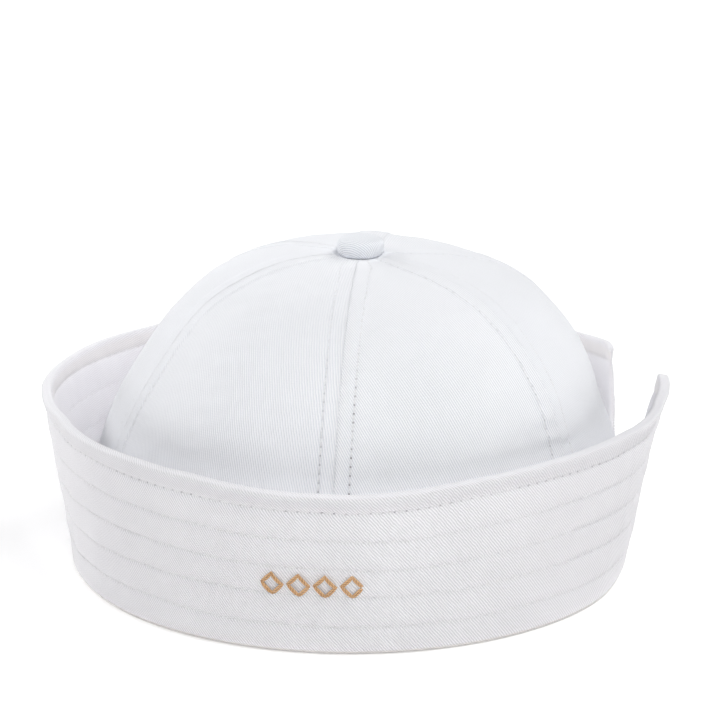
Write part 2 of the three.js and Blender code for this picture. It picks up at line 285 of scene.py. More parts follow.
def cloth_material(name, light, dark, angle, pitch_mm, rows=None, relief=0.00011, hole=(0.30, 0.29, 0.31), rim=None,
                   worn=True, glow=(0.35, 0.0025)):
    """White cotton twill: diagonal ribs at that angle in the cloth map, with needle holes along the rows map."""
    m = Nodes(name)
    vec, u, v = m.uv("cloth")
    geo = m.new("ShaderNodeTexCoord")
    slow = m.noise(vec, 230.0, 2.0)
    wide = m.noise(vec, 38.0, 3.0)
    grain = m.noise(vec, 2600.0, 1.0)
    c, s = math.cos(math.radians(angle)), math.sin(math.radians(angle))
    p = pitch_mm * MM
    across = m.math("ADD", m.math("MULTIPLY", u, c / p), m.math("MULTIPLY", v, s / p))
    across = m.math("ADD", across, m.math("MULTIPLY", slow, 0.55))
    along = m.math("ADD", m.math("MULTIPLY", u, -s / (p * 1.15)), m.math("MULTIPLY", v, c / (p * 1.15)))
    rib = m.math("MULTIPLY_ADD", m.math("SINE", m.math("MULTIPLY", across, 2 * math.pi)), 0.5, 0.5)
    brick = m.math("ADD", along, m.math("MULTIPLY", m.math("FLOOR", across), 0.37))
    yarn = m.math("MULTIPLY_ADD", m.math("SINE", m.math("MULTIPLY", brick, 2 * math.pi)), 0.5, 0.5)
    height = m.math("ADD", m.math("MULTIPLY", rib, m.math("MULTIPLY_ADD", yarn, 0.2, 0.8)), m.math("MULTIPLY", grain, 0.22))
    # the ribs' tone follows their height: painted shade in the weave's grooves, lighter on the crests; the noise adds
    # the cloth's own random tone
    tone = m.math("MULTIPLY_ADD", height, 0.98, 0.06)
    tone = m.math("ADD", tone, m.math("MULTIPLY_ADD", wide, 0.24, -0.12))
    tone = m.math("ADD", tone, m.math("MULTIPLY_ADD", grain, 0.30, -0.13), clamp=True)
    if worn:                                      # the ribs are rubbed and pressed flatter here and there
        _, smooth, _ = m.uv("worn")
        keep = m.math("SUBTRACT", 1.0, smooth)
        tone = m.math("MULTIPLY_ADD", m.math("SUBTRACT", tone, 0.6), keep, 0.6)
        height = m.math("MULTIPLY", height, keep)
    colour = m.mix(tone, (*dark, 1), (*light, 1))
    if rim:
        _, edge, strip_shade = m.uv("edge")
        # painted shade on the strip below the rolled edge and on the edge's outer side
        colour = m.mix(m.math("MULTIPLY", strip_shade, 0.16), colour, (*[0.72 * c for c in dark], 1))
        # painted highlight along the rolled edge's top, where the ribs are also flattened
        colour = m.mix(m.math("MULTIPLY", edge, 0.42), colour, (*rim, 1))
        height = m.math("MULTIPLY", height, m.math("MULTIPLY_ADD", edge, -0.6, 1.0))
    if rows:
        _, x, d = m.uv("rows")
        _, work, hem = m.uv("work")
        fx = m.math("MULTIPLY", m.math("SUBTRACT", m.math("FRACT", x), 0.5), rows * MM)
        dist = m.math("SQRT", m.math("ADD", m.math("MULTIPLY", fx, fx), m.math("MULTIPLY", d, d)))
        # painted shade: the needle holes go dark towards hole's colour, and the groove the row's thread lies in is
        # darkened where the holes are open
        spot = m.range(dist, 0.00022, 0.00050, 1.0, 0.0)
        seat = m.range(m.math("ABSOLUTE", d), 0.0002, 0.0011, 1.0, 0.0)
        spot = m.math("MULTIPLY", spot, work)
        colour = m.mix(m.math("MULTIPLY", m.math("MULTIPLY", seat, work), 0.10), colour, (0.45, 0.45, 0.48, 1))
        colour = m.mix(m.math("MULTIPLY", spot, 0.80), colour, (*hole, 1))
        # a beige tint on the inner hem, and the brownish tint of the painted contact shadow at the foot
        colour = m.mix(m.math("MULTIPLY", hem, 0.10), colour, (0.88, 0.78, 0.60, 1))
        height = m.math("SUBTRACT", height, m.math("MULTIPLY", spot, 1.6))
    m.join(colour, m.bsdf.inputs["Base Color"])
    m.join(m.math("MULTIPLY_ADD", height, 0.08, 0.84), m.bsdf.inputs["Roughness"])
    bump = m.new("ShaderNodeBump")
    bump.inputs["Strength"].default_value = 1.0
    bump.inputs["Distance"].default_value = relief
    m.join(height, bump.inputs["Height"])
    m.join(bump.outputs[0], m.bsdf.inputs["Normal"])
    m.bsdf.inputs["Specular IOR Level"].default_value = 0.25
    m.bsdf.inputs["Sheen Weight"].default_value = 0.12
    m.bsdf.inputs["Sheen Roughness"].default_value = 0.5
    m.bsdf.inputs["Subsurface Weight"].default_value = glow[0]
    m.bsdf.inputs["Subsurface Radius"].default_value = (1.0, 1.0, 1.0)
    m.bsdf.inputs["Subsurface Scale"].default_value = glow[1]
    return m.mat


def thread_material(name, light, dark, twist=0.0011, relief=0.00006, blotch=0.3):
    """Twisted thread: slanting plies in the cloth map, which runs along and round each thread."""
    m = Nodes(name)
    vec, u, v = m.uv("cloth")
    ply = m.math("ADD", m.math("MULTIPLY", u, 1.0 / twist), m.math("MULTIPLY", v, 2.0 / 0.002))
    lay = m.math("MULTIPLY_ADD", m.math("SINE", m.math("MULTIPLY", ply, 2 * math.pi)), 0.5, 0.5)
    fuzz = m.noise(vec, 1500.0, 2.0)
    slow = m.noise(vec, 160.0, 1.0)
    tone = m.math("ADD", m.math("MULTIPLY", lay, 0.6), m.math("MULTIPLY_ADD", fuzz, 0.5, -0.1))
    tone = m.math("ADD", tone, m.math("MULTIPLY_ADD", slow, blotch * 2, -blotch), clamp=True)
    m.join(m.mix(tone, (*dark, 1), (*light, 1)), m.bsdf.inputs["Base Color"])
    m.join(m.math("MULTIPLY_ADD", fuzz, 0.2, 0.6), m.bsdf.inputs["Roughness"])
    bump = m.new("ShaderNodeBump")
    bump.inputs["Distance"].default_value = relief
    m.join(lay, bump.inputs["Height"])
    m.join(bump.outputs[0], m.bsdf.inputs["Normal"])
    m.bsdf.inputs["Specular IOR Level"].default_value = 0.3
    m.bsdf.inputs["Sheen Weight"].default_value = 0.1
    return m.mat


# each pair runs from the ribs' crests to their grooves: the darker colour is partly painted shade in the twill's
# grooves
CROWN_LIGHT, CROWN_DARK = (0.95, 0.96, 0.99), (0.72, 0.735, 0.785)
BRIM_LIGHT, BRIM_DARK = (0.885, 0.873, 0.897), (0.575, 0.565, 0.594)
BUTTON_LIGHT, BUTTON_DARK = (0.935, 0.955, 0.99), (0.65, 0.675, 0.73)
RIB_ANGLES = [25.0, 22.0, 24.0, 27.0, 23.0, 26.0]   # each panel is cut on its own grain
RIB_DEPTH = [0.80, 1.15, 0.8, 0.6, 0.6, 0.6]       # how strong each panel's painted groove shade is; the back panels get less


def faded(dark, light, depth):
    middle = [(a + b) / 2 for a, b in zip(dark, light)]
    return tuple(m + (d - m) * depth for m, d in zip(middle, dark)), tuple(m + (l - m) * depth for m, l in zip(middle, light))


panel_mats = []
for i, (angle, depth) in enumerate(zip(RIB_ANGLES, RIB_DEPTH)):
    d, l = faded(CROWN_DARK, CROWN_LIGHT, depth)
    panel_mats.append(cloth_material(f"crown_twill_{i + 1}", l, d, angle, 0.81, rows=CROWN_PITCH))
# rim is the colour of the painted highlight along the rolled edge's top
brim_mat = cloth_material("brim_twill", BRIM_LIGHT, BRIM_DARK, 45.0, 0.78, rows=BRIM_PITCH, rim=(0.86, 0.865, 0.90),
                          glow=(0.45, 0.0042))
button_mat = cloth_material("button_twill", BUTTON_LIGHT, BUTTON_DARK, 60.0, 0.80, worn=False)
white_thread = thread_material("white_thread", (0.90, 0.905, 0.925), (0.76, 0.765, 0.79))
brim_thread = thread_material("brim_thread", (0.86, 0.85, 0.865), (0.70, 0.69, 0.71))
tan_thread = thread_material("tan_thread", (0.80, 0.53, 0.30), (0.45, 0.25, 0.115), blotch=0.25)


# ------------------------------------------------------------------ crown
def dome(az, el):
    side = (1 + np.cos(np.radians(az))) / 2
    rho = side * dome_right(el) + (1 - side) * dome_left(el)
    r = rho * np.cos(np.radians(el))
    z = CROWN_BASE_Z + rho * np.sin(np.radians(el))
    lean = CROWN_LEAN * (z - CROWN_BASE_Z) / (CROWN_TOP_Z - CROWN_BASE_Z)
    a = np.radians(az)
    return np.stack([r * np.cos(a) + lean, r * np.sin(a), z], -1)


ROW_STEP = CROWN_PITCH / 4
NEAR = np.array([0.012, 0.2, 0.6, 1.0, 1.6, 2.4, 3.3, 4.1, 4.6, 4.95, 5.15, 5.35, 5.7, 6.3, 7.2, 8.4])
MIDDLE = 34


def level_table(azimuth):
    """Elevations at equal steps of length up the dome along one azimuth."""
    el = np.linspace(0, 88.6, 1500)
    p = dome(np.full_like(el, azimuth), el)
    t = np.concatenate([[0], np.cumsum(np.linalg.norm(np.diff(p, axis=0), axis=1))])
    return el, t


crown_paths, crown_path_normals = [], []


def crown_panel(i):
    az0 = SEAMS[i]
    az1 = SEAMS[i + 1] if i + 1 < len(SEAMS) else SEAMS[0] + 360
    el, t = level_table((az0 + az1) / 2)
    rows = int(t[-1] / ROW_STEP)
    ts = np.arange(rows + 1) * ROW_STEP
    els = np.interp(ts, t, el)
    # columns: fine near both seams, at true distances from them
    radius = dome(np.full_like(els, (az0 + az1) / 2), els)
    lean = CROWN_LEAN * (radius[:, 2] - CROWN_BASE_Z) / (CROWN_TOP_Z - CROWN_BASE_Z)
    radius = np.hypot(radius[:, 0] - lean, radius[:, 1])
    half = radius * math.radians(az1 - az0) / 2
    zone = np.minimum(NEAR[-1], half * 0.9)
    near = NEAR[None] * (zone / NEAR[-1])[:, None]
    k = np.linspace(0, 1, MIDDLE + 1)[1:-1]
    mid = zone[:, None] + (2 * half - 2 * zone)[:, None] * k[None]
    dist = np.concatenate([near, mid, (2 * half)[:, None] - near[:, ::-1]], 1)   # mm from the first seam
    across = dist / (2 * half)[:, None]
    az = az0 + (az1 - az0) * across
    base = dome(az, np.broadcast_to(els[:, None], az.shape))
    normal = grid_normals(base)
    d0, d1 = dist, (2 * half)[:, None] - dist
    d = np.minimum(d0, d1)
    shrink = (zone / NEAR[-1])[:, None]
    dn = d / np.maximum(shrink, 0.05)            # distance in the rows' own scale near the tip
    tt = np.broadcast_to(ts[:, None], d.shape)
    left = d0 < d1
    seed = 11 * i
    # the panel's own fullness between seams, less near the base and tip
    full = 0.55 * np.sin(np.pi * across) * np.sin(np.pi * np.clip(els / 90, 0, 1))[:, None] ** 0.5
    ridge = 0.9 * (1 - np.sin(np.pi * across)) ** 3 * np.cos(np.radians(els))[:, None]
    plateau = 0.42 * (1 - step(dn, 4.5, 6.1))
    sharp = np.where(left, SEAM_SHARP[i], SEAM_SHARP[(i + 1) % 6])
    crease = sharp * (-0.10 * bell(dn, 0.30) - 0.07 * bell(dn, 1.5))
    lap = sharp * np.where(left, -0.05, 0.11) * bell(dn - 0.1, 0.9)
    stitch = np.cos(2 * np.pi * tt / CROWN_PITCH)
    calm = (1 - 0.75 * step(els, 42.0, 62.0))[:, None]          # pressed flatter over the top
    groove = -sharp * calm * (0.13 + 0.13 * np.clip(stitch, 0, 1)) * bell(dn - 5.15, 0.42)
    pucker_t = 0.5 * line_noise(ts, 7.0, seed + 1) + 0.5 * line_noise(ts, 3.4, seed + 2)
    pucker_u = 0.5 * line_noise(ts, 7.5, seed + 3) + 0.5 * line_noise(ts, 3.8, seed + 4)
    gather = np.where(left, SEAM_GATHER[i], SEAM_GATHER[(i + 1) % 6])
    pucker = gather * np.where(left, pucker_t[:, None], pucker_u[:, None]) * bell(dn - 4.0, 4.2)
    pucker = calm * (pucker + 0.06 * stitch * bell(dn - 5.15, 1.3))
    big = 0.30 * waves(base, 62.0, 3) + 0.13 * waves(base, 24.0, 4) + 0.045 * waves(base, 9.0, 5)
    big = big + 1.0 * bell(np.hypot((base[..., 0] - 9) / 9, (base[..., 1] - 36) / 16), 1.0)
    fade = step(radius, 6.0, 22.0)[:, None]
    settle = step(ts, 0.0, 7.0)[:, None]          # the base is drawn in to clear the brim's fold
    under = step(radius, 5.0, 9.0)[:, None]       # the seams lie plain under the button
    disp = (full + ridge + plateau + big * fade + (lap + crease + groove + pucker) * under) * settle - 0.4 * (1 - settle)
    outer = base + normal * disp[..., None]
    # inside: plain cloth with the seam allowances pressed open
    allowance = 0.55 * (1 - step(dn, 8.0, 8.9)) * (1 - 0.8 * bell(dn, 0.5))
    inner_disp = (big * fade + full + ridge * 0.8) * settle - 0.4 * (1 - settle) - CROWN_WALL - allowance
    inner_disp = inner_disp - 0.10 * bell(dn - 5.15, 0.5) * (1 + stitch)
    inner = base + normal * inner_disp[..., None]
    # the button's thread pulls the cloth down under it
    from_axis = np.hypot(outer[..., 0] - CROWN_LEAN, outer[..., 1])
    level = CROWN_TOP_Z - 0.03 + 1.7 * step(from_axis, 7.7, 11.8) + 9.0 * step(from_axis, 11.0, 20.0)
    drop = 0.08 * np.logaddexp(0.0, (outer[..., 2] - level) / 0.08)
    outer[..., 2] -= drop
    inner[..., 2] -= drop
    # the base edge stands on the foot
    outer[0, :, 2] = inner[0, :, 2] = 2.76
    n_rows, n_cols = d.shape
    o = np.arange(n_rows * n_cols).reshape(n_rows, n_cols)
    q = o + n_rows * n_cols
    faces = [grid_faces(o), grid_faces(q, flip=True)]
    edges = [(o[:, 0], q[:, 0], True), (o[:, -1], q[:, -1], False), (o[0], q[0], False), (o[-1], q[-1], True)]
    base_count, edge_ids = 2 * n_rows * n_cols, []
    for a, b, flip in edges:                      # the cut edges have their own corners, so they shade crisply
        pair = np.stack([a, b], 1)
        new = base_count + len(np.concatenate(edge_ids)) if edge_ids else base_count
        faces.append(grid_faces(new + np.arange(pair.size).reshape(pair.shape), flip=flip))
        edge_ids.append(pair.ravel())
    edge_ids = np.concatenate(edge_ids)
    u = (dist - half[:, None]) * MM + 0.06 + 0.013 * i
    cloth = np.stack([u, tt * MM], -1).reshape(-1, 2)
    rowmap = np.stack([tt / CROWN_PITCH + 0.5, np.abs(dn - 5.15) * MM], -1).reshape(-1, 2)
    open_l, open_r = ROW_WORK[i], ROW_WORK[(i + 1) % 6]
    work = np.where(left, open_l, open_r) * (0.75 + 0.35 * line_noise(tt, 11.0, seed + 6))
    work = work * (1 - 0.9 * step(els, 44.0, 60.0))[:, None]
    worn = np.broadcast_to((0.5 * step(els, 45.0, 66.0))[:, None], work.shape)
    worn = np.stack([worn, 0 * worn], -1).reshape(-1, 2)
    work = np.stack([np.clip(work, 0, 1), 0 * work], -1).reshape(-1, 2)
    verts = np.concatenate([outer.reshape(-1, 3), inner.reshape(-1, 3)])
    cloth, rowmap, work, worn = (np.concatenate([a, b]) for a, b in
                                 ((cloth, cloth + np.array([0.2, 0.0])), (rowmap, rowmap), (work, work), (worn, worn)))
    turned = np.arange(len(edge_ids)) % 2 * CROWN_WALL * MM        # the map goes on round each edge
    edge_cloth = np.where((edge_ids < n_rows * n_cols)[:, None], cloth[edge_ids], cloth[edge_ids] - np.array([0.2, 0.0]))
    edge_cloth[:, 0] += turned
    ob = mesh_object(f"cloth_panel_{i + 1}", np.concatenate([verts, verts[edge_ids]]), np.concatenate(faces),
                     {"cloth": np.concatenate([cloth, edge_cloth]), "rows": np.concatenate([rowmap, rowmap[edge_ids]]),
                      "work": np.concatenate([work, 0 * work[edge_ids]]),
                      "worn": np.concatenate([worn, worn[edge_ids]])}, panel_mats[i])
    # thread along each row, one stitch between each pair of holes
    for column in (list(NEAR).index(5.15), n_cols - 1 - list(NEAR).index(5.15)):
        line, nrm = outer[:, column], normal[:, column]
        sink = 0.28 * (1 - sharp[0, column]) + 0.15 * step(els, 42.0, 60.0)
        last = int(np.argmax(radius < 9.0)) if (radius < 9.0).any() else n_rows - 1
        for k in range(0, last - 4, 4):
            f = np.array([0.45, 1.1, 2.0, 2.9, 3.55]) + k
            pts = np.stack([np.interp(f, np.arange(n_rows), line[:, a]) for a in range(3)], -1)
            ns = np.stack([np.interp(f, np.arange(n_rows), nrm[:, a]) for a in range(3)], -1)
            rise = np.array([-0.14, 0.06, 0.14, 0.06, -0.14]) - sink[k + 2]
            crown_paths.append(pts + ns * rise[:, None])
            crown_path_normals.append(ns)
    return ob


panels = [crown_panel(i) for i in range(6)]
for i, ob in enumerate(panels):
    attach(ob, "root")
    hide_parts(f"crown_panel_{i + 1}")
topstitch = tubes("crown_topstitching", crown_paths, crown_path_normals, [0.13, 0.2, 0.22, 0.2, 0.13], white_thread)
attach(topstitch, "root")


# ------------------------------------------------------------------ brim
def brim_azimuth(share, s):
    k = s / BRIM_WIDTH
    a = SLIT_BEHIND[0] + (SLIT_BEHIND[1] - SLIT_BEHIND[0]) * k
    b = SLIT_BEFORE[0] + (SLIT_BEFORE[1] - SLIT_BEFORE[0]) * k
    return a + (b - a) * share


def brim_point(az, s, depth):
    lean = np.radians(brim_lean(az))
    soft = s - 1.2 * (1 - np.exp(-np.maximum(s, 0) / 1.2))
    r = (BASE_RADIUS + brim_fold(az) + soft * np.sin(lean) - depth * np.cos(lean)
         + brim_flare(az) * (np.maximum(s, 0) / BRIM_WIDTH) ** 3)
    z = s * np.cos(lean) + depth * np.sin(lean)
    a = np.radians(az)
    return np.stack([r * np.cos(a), r * np.sin(a), z], -1)


def brim_row_height(k, share):
    """The lowest row wanders up a little on the left."""
    az = SLIT_BEHIND[0] + (360 - 9) * share
    drift = (0.25 * np.sin(np.radians(3 * az + 70 * k)) + 0.18 * np.sin(np.radians(7 * az + 40 * k)))
    if k == 0:
        drift = drift + 1.6 * bell(az - 208, 26)
    return BRIM_ROWS[k] + drift


def outer_relief(s, arc, share, p, rows_s):
    seat = np.zeros_like(s)
    work = np.zeros_like(s)
    nearest = np.full_like(s, 1e9)
    hole = np.clip(np.cos(2 * np.pi * arc / BRIM_PITCH), 0, 1)
    for k in range(5):
        d = s - rows_s[k]
        close = np.abs(d) < nearest
        work = np.where(close, BRIM_WORK[k] * (0.8 + 0.35 * line_noise(arc, 14.0, 70 + k)), work)
        nearest = np.where(close, np.abs(d), nearest)
        deep = 0.26 if k == 4 else 0.13
        seat -= (deep + 0.10 * hole) * bell(d, 0.50) + 0.07 * bell(d, 1.6) + (0.26 * bell(d, 3.2) if k == 4 else 0)
    edges = [0 * s + 0.5] + [rows_s[k] for k in range(5)] + [0 * s + BRIM_WIDTH + 1.0]
    loft = [0.08, 0.20, 0.17, 0.18, 0.20, 0.85]
    swell = np.zeros_like(s)
    for k in range(5):
        x = np.clip((s - edges[k]) / (edges[k + 1] - edges[k]), 0, 1)
        swell += loft[k] * np.sin(np.pi * x) ** 0.75
    x = np.clip((s - edges[5]) / (edges[6] - edges[5]), 0, 1)      # the rolled edge rides over the top row
    swell += loft[5] * x ** 0.75
    ripple = (0.5 * line_noise(arc, 9.0, 91) + 0.5 * line_noise(arc + 40 * np.round(s / 11), 4.6, 92))
    ripple = 0.055 * ripple * bell(nearest, 4.0)
    stitch = 0.035 * np.cos(2 * np.pi * arc / BRIM_PITCH) * bell(nearest, 1.4)
    big = 0.26 * waves(p, 55.0, 31) + 0.12 * waves(p, 21.0, 32) + 0.04 * waves(p, 8.0, 33)
    return seat + swell + ripple + stitch, big * step(s, 1.0, 12.0), nearest, np.clip(work, 0, 1)


def build_brim():
    columns = int(BRIM_ARC)                      # one each mm, four to a stitch
    arc = np.arange(columns + 1, dtype=float)
    ends = np.array([0.12, 0.35, 0.65])
    arc = np.unique(np.concatenate([arc, ends, columns - ends]))
    share = arc / BRIM_ARC
    n = len(arc)
    fine = np.array([-2.2, -1.3, -0.75, -0.35, 0.0, 0.35, 0.75, 1.3, 2.2])
    rows_s = [brim_row_height(k, share) for k in range(5)]
    # heights up each face, per column
    parts = [np.broadcast_to(x, (n,)) for x in (2.0, 2.8, 4.0, 5.4, 6.8)]
    for k in range(5):
        parts += [rows_s[k] + f for f in fine]
        top = rows_s[k + 1] - 2.2 if k < 4 else None
        if top is not None:
            low = rows_s[k] + 2.2
            parts += [low + (top - low) * f for f in (0.33, 0.67)]
    parts += [rows_s[4] + 2.9, rows_s[4] + 3.7]
    S = np.stack(parts, 1)                       # columns x heights
    m = S.shape[1]
    from_end = np.minimum(arc, columns - arc)
    corner = 3.0 - np.sqrt(np.maximum(0.0, 9.0 - (3.0 - np.minimum(from_end, 3.0)) ** 2))
    corner = np.where(arc < columns / 2, np.minimum(corner, 2.2), 0.45 * corner)
    edge = 1.25 * (1 - np.sqrt(np.maximum(0.0, 1 - (1 - np.minimum(from_end / 1.2, 1)) ** 2)))
    top_s = BRIM_WIDTH - corner
    arc2 = np.broadcast_to(arc[:, None], S.shape)
    share2 = np.broadcast_to(share[:, None], S.shape)
    rs2 = [np.broadcast_to(r[:, None], S.shape) for r in rows_s]
    az = brim_azimuth(share2, S)
    limit = (top_s - 1.5)[:, None]
    Sc = np.where(S > limit, limit + (S - limit) * 0.05, S)
    p0 = brim_point(az, Sc, 0.0)
    relief, big, near, open_o = outer_relief(S, arc2, share2, p0, rs2)
    outer = brim_point(az, Sc, -relief - big + edge[:, None])
    # inner face: the same rows, the hem below the rim standing a little proud
    relief_i, _, near_i, open_i = outer_relief(S, arc2 + 2.0, share2, p0, rs2)
    hem = 0.18 * step(S, rows_s[4][:, None] + 0.3, rows_s[4][:, None] + 2.0) - 0.10 * bell(S - rows_s[4][:, None] + 0.5, 1.0)
    relief_i = relief_i * 0.4
    inner = brim_point(az, Sc, BRIM_WALL + relief_i + hem - big - edge[:, None])
    # rim: two folded edges side by side with a shallow groove between them
    phi = np.linspace(0, np.pi, 13)[1:-1]
    half = BRIM_WALL / 2
    e_out = 0.66 - edge
    e_in = 0.62 - edge
    rim_s = (top_s - 1.55)[:, None] + 1.55 * np.sin(phi)[None] ** 0.72 - 0.34 * bell(phi - np.pi / 2, 0.30)[None]
    width = np.where(np.cos(phi)[None] > 0, (half + e_out)[:, None], (half + e_in)[:, None])
    wav = 0.09 * line_noise(arc, 42.0, 55) + 0.025 * line_noise(arc, 12.0, 56)
    rim_d = half - np.sign(np.cos(phi))[None] * np.abs(np.cos(phi))[None] ** 0.9 * width + wav[:, None] * 0.6
    rim_az = brim_azimuth(np.broadcast_to(share[:, None], rim_s.shape), rim_s)
    rim_p0 = brim_point(rim_az, rim_s, 0.0)
    rim_big = 0.26 * waves(rim_p0, 55.0, 31) + 0.12 * waves(rim_p0, 21.0, 32)
    rim = brim_point(rim_az, rim_s + wav[:, None], rim_d - rim_big)
    # foot
    foot = np.array([  # r, z, follows
        [96.8, 3.9, .5], [96.4, 3.05, .5], [95.4, 2.7, .3], [93.6, 2.66, 0], [93.05, 2.4, 0],
        [92.75, 1.95, 0], [92.68, 1.35, 0], [92.75, 0.8, 0], [93.0, 0.35, 0], [93.45, 0.06, 0], [94.2, 0, 0],
        [95.2, 0, 0], [96.2, 0, .5], [97.2, 0, 1], [97.9, 0.1, 1], [98.6, 0.36, 1], [99.2, 0.75, 1], [99.65, 1.25, 1]])
    kf = len(foot)

    def foot_points(azimuth, fold):
        r = foot[None, :, 0] + foot[None, :, 2] * fold[:, None]
        a = np.radians(azimuth)[:, None]
        return np.stack([r * np.cos(a), r * np.sin(a), np.broadcast_to(foot[None, :, 1], r.shape)], -1)

    az0 = brim_azimuth(share, np.zeros_like(share))
    foot_wall = foot_points(az0, brim_fold(az0))
    slit_n = 18
    ks = np.arange(1, slit_n) / slit_n
    az_s = SLIT_BEFORE[0] + (SLIT_BEHIND[0] + 360 - SLIT_BEFORE[0]) * ks
    fold_s = brim_fold(SLIT_BEFORE[0]) * (1 - ks) + brim_fold(SLIT_BEHIND[0]) * ks
    foot_slit = foot_points(az_s, fold_s)
    wall = np.concatenate([outer, rim, inner[:, ::-1]], 1)          # from the outer base to the inner base
    full = np.concatenate([foot_wall, wall], 1)
    nv = full.shape[1]
    idx = np.arange(n * nv).reshape(n, nv)
    sidx = n * nv + np.arange(len(ks) * kf).reshape(len(ks), kf)
    faces = []
    ring = np.concatenate([idx[:, :kf], sidx, idx[:1, :kf]], 0)
    faces.append(grid_faces(ring, flip=True))
    chain = np.concatenate([idx[:, kf - 1:], idx[:, :1]], 1)
    faces.append(grid_faces(chain, flip=True))
    bare = np.concatenate([idx[-1:, [kf - 1, 0]], sidx[:, [kf - 1, 0]], idx[:1, [kf - 1, 0]]], 0)
    faces.append(grid_faces(bare, flip=True))
    tris, cap_pos, cap_uv = [], [], []
    cap_base = n * nv + len(ks) * kf
    flat = full.reshape(-1, 3)
    for c, flip in ((0, False), (n - 1, True)):
        count = 2 * (m + 1) + len(phi)
        first = cap_base + count * (c > 0)
        ids = [idx[c, kf - 1], *idx[c, kf:kf + m], *idx[c, kf + m:kf + m + len(phi)],
               *idx[c, kf + m + len(phi):], idx[c, 0]]
        up = np.array([1.2, *Sc[c], *rim_s[c], *Sc[c][::-1], 3.9])
        deep = np.array([0.0] * (m + 1) + list(rim_d[c]) + [BRIM_WALL] * (m + 1))
        cap_pos.append(flat[ids])
        cap_uv.append(np.stack([deep + 700 + 10 * (c > 0), up], 1) * MM)
        out = first + np.arange(m + 1)
        inn = (first + count - 1 - np.arange(m + 1))
        quads = np.array([[out[i], out[i + 1], inn[i + 1], inn[i]] for i in range(m)])
        faces.append(quads[:, ::-1] if flip else quads)
        loop = list(range(out[-1], inn[-1] + 1))
        fan, lo, hi = [], 0, len(loop) - 1
        while hi - lo > 1:
            fan.append([loop[lo], loop[lo + 1], loop[hi]])
            lo += 1
            if hi - lo > 1:
                fan.append([loop[lo], loop[hi - 1], loop[hi]])
                hi -= 1
        fan = np.array(fan)
        tris.append(fan[:, ::-1] if flip else fan)
    cap_pos, cap_uv = np.concatenate(cap_pos), np.concatenate(cap_uv)
    verts = np.concatenate([flat, foot_slit.reshape(-1, 3), cap_pos])
    # maps: cloth runs along the arc and up the section, rows give place along and distance from a row
    run = np.concatenate([np.zeros((n, 1)), np.cumsum(np.linalg.norm(np.diff(full, axis=1), axis=-1), 1)], 1)
    cloth = np.stack([np.broadcast_to(arc[:, None], run.shape), run], -1) * MM
    far = np.full((n, kf), 5.0)
    near_all = np.concatenate([far, near, np.full((n, len(phi)), 5.0), near_i[:, ::-1]], 1)
    open_all = np.concatenate([0 * far, open_o, np.zeros((n, len(phi))), open_i[:, ::-1] * 0.2], 1)
    hem_tint_and_contact_shadow = np.zeros((n, nv))
    # a brownish tint in the painted contact shadow at the foot, and a beige tint on the inner hem
    hem_tint_and_contact_shadow[:, kf - 6:kf] = 2.0
    hem_tint_and_contact_shadow[:, kf + m + len(phi):] = step(S, rows_s[4][:, None] - 1.0, rows_s[4][:, None] + 1.0)[:, ::-1]
    extra = np.zeros(len(ks) * kf + len(cap_pos))
    crest_highlight = np.zeros((n, nv))                     # painted highlight along the rolled edge's top: how near its top each place is
    crest_highlight[:, kf + m:kf + m + len(phi)] = step(np.sin(phi), 0.45, 0.85)[None]
    shade = np.zeros((n, nv))                     # painted shade on the strip between it and the top row, and on the rolled edge's outer side
    shade[:, kf:kf + m] = step(S, rows_s[4][:, None] + 0.3, rows_s[4][:, None] + 2.0)
    shade[:, kf + m:kf + m + len(phi)] = (step(np.cos(phi), 0.3, 0.8))[None]
    shade[:, kf - 5:kf] = [1.2, 2.0, 2.0, 1.8, 0.9]   # painted contact shadow where the fold meets the floor
    crest_highlight, shade = (np.concatenate([x.reshape(-1), extra]) for x in (crest_highlight, shade))
    work = np.stack([np.concatenate([open_all.reshape(-1), extra]), np.concatenate([hem_tint_and_contact_shadow.reshape(-1), extra])], -1)
    worn = np.zeros((n, nv)) + (0.38 * step(az0, 288, 318) + 0.25 * (1 - step(az0, 196, 216)))[:, None]
    worn[:, kf + m + len(phi):] = 0.6
    worn = np.concatenate([worn.reshape(-1), extra])
    shift = np.concatenate([np.zeros((n, kf + m + len(phi))), np.full((n, m), 0.5)], 1)
    rowmap = np.stack([arc[:, None] / BRIM_PITCH + 0.5 + shift, near_all * MM], -1)
    extra_arc = BRIM_ARC + ks * 16
    cloth_s = np.stack([np.broadcast_to(extra_arc[:, None], (len(ks), kf)), np.broadcast_to(run[-1, :kf], (len(ks), kf))], -1) * MM
    rows_slit = np.full((len(ks), kf, 2), 5.0 * MM)
    ob = mesh_object("cloth_brim", verts, [np.concatenate(faces), np.concatenate(tris)],
                     {"cloth": np.concatenate([cloth.reshape(-1, 2), cloth_s.reshape(-1, 2), cap_uv]),
                      "rows": np.concatenate([rowmap.reshape(-1, 2), rows_slit.reshape(-1, 2), 0 * cap_uv + 5.0 * MM]),
                      "work": work, "edge": np.stack([crest_highlight, shade], -1), "worn": np.stack([worn, 0 * worn], -1)}, brim_mat)
